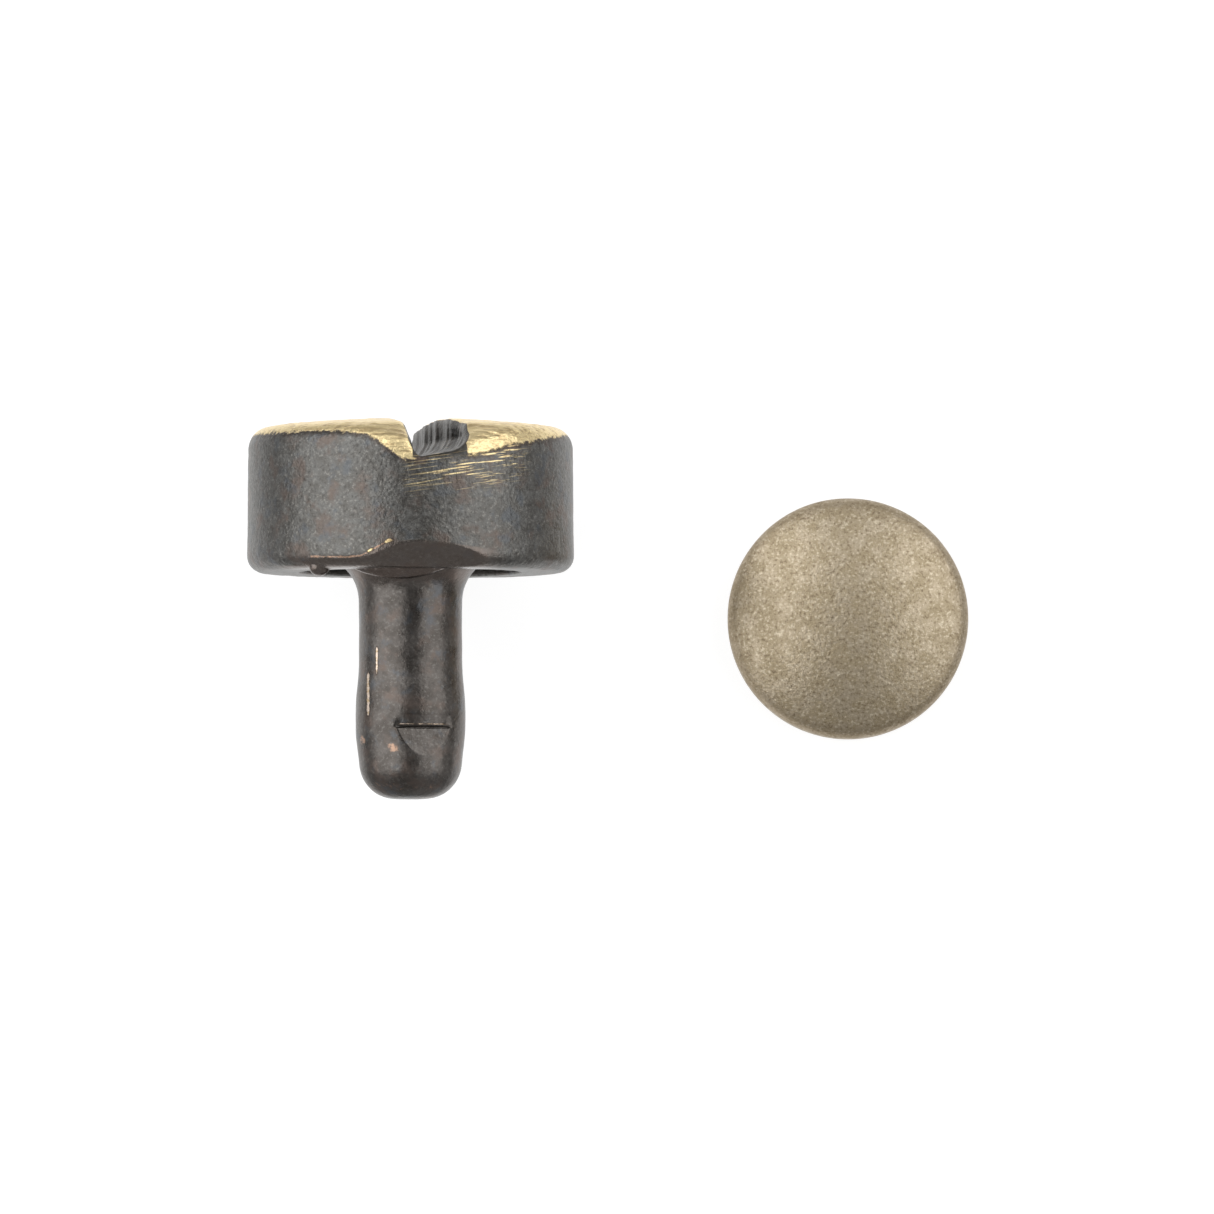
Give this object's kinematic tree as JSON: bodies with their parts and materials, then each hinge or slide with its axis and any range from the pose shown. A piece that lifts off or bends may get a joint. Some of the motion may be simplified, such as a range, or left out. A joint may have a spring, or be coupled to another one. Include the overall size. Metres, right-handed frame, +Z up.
{
  "type": "decorative leather rivet",
  "caption": "Two-part decorative rivet for leather: a stud with a round slotted head and a drawn hollow post, and a separate domed cap whose collar presses over the post.",
  "frame": {"origin": "bench surface, under the middle of the pair's footprint", "axes": "+X from the stud to the cap, -Y along the stud's post towards its closed end, +Z up from the bench and along the cap's own axis towards the top of its dome"},
  "size_m": [0.021, 0.011, 0.0095],
  "materials": {
    "oxidised_brass": "dark oxidised cast brass, worn back to bright brass on the crown and beside the slot",
    "dark_post_brass": "dark oxidised drawn brass with coppery rubbed spots",
    "dark_solder": "smooth brown oxidised solder",
    "antique_brass": "satin antique brass with a fine glittering grain",
    "eyelet_brass": "plain drawn brass"
  },
  "bodies": {
    "stud": {"slotted_head": "oxidised_brass", "rivet_post": "dark_post_brass", "solder_fillet": "dark_solder"},
    "cap": {"cap_shell": "antique_brass", "cap_eyelet": "eyelet_brass"}
  },
  "joints": [
    {"name": "cap_lift", "type": "slide", "parent": "stud", "child": "cap", "axis": [0, 0, 1], "range_m": [0, 0.012]}
  ]
}
